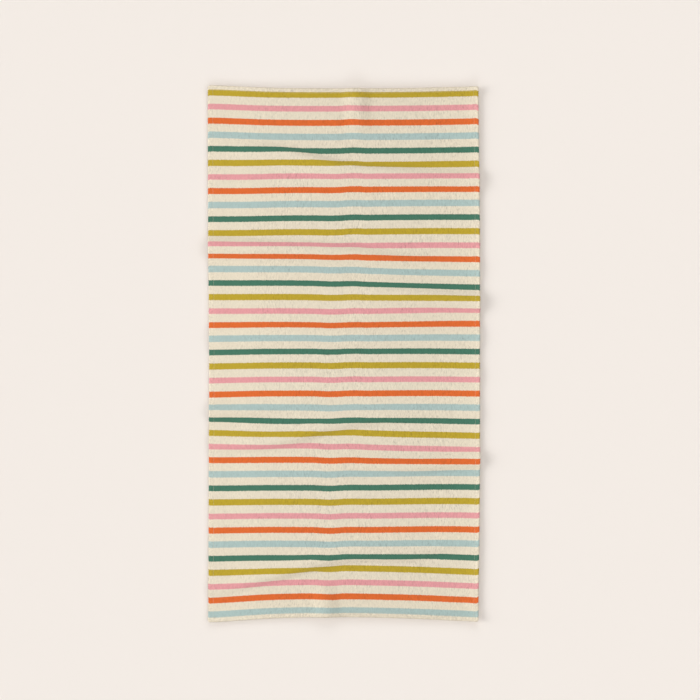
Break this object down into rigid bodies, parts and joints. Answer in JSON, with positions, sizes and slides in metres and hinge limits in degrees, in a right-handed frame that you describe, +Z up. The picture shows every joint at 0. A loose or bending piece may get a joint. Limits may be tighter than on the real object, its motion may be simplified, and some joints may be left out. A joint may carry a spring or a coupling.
{
  "type": "bath towel",
  "caption": "Cotton terry bath towel, opened out and laid flat face up, with cross stripes on its face, narrow turned hems and soft raised creases from having been folded.",
  "frame": {"origin": "middle of the laid towel, on the surface that it rests on", "axes": "+X across the towel to its right side, +Y along the towel to its head end, +Z up out of its striped face"},
  "size_m": [0.6952, 1.371, 0.0304],
  "materials": {
    "terry": "matte cotton loop pile in cream, printed on the face with even cross stripes of olive, pink, orange, pale blue and green"
  },
  "bodies": {
    "root": {"towel": "terry"}
  },
  "joints": []
}
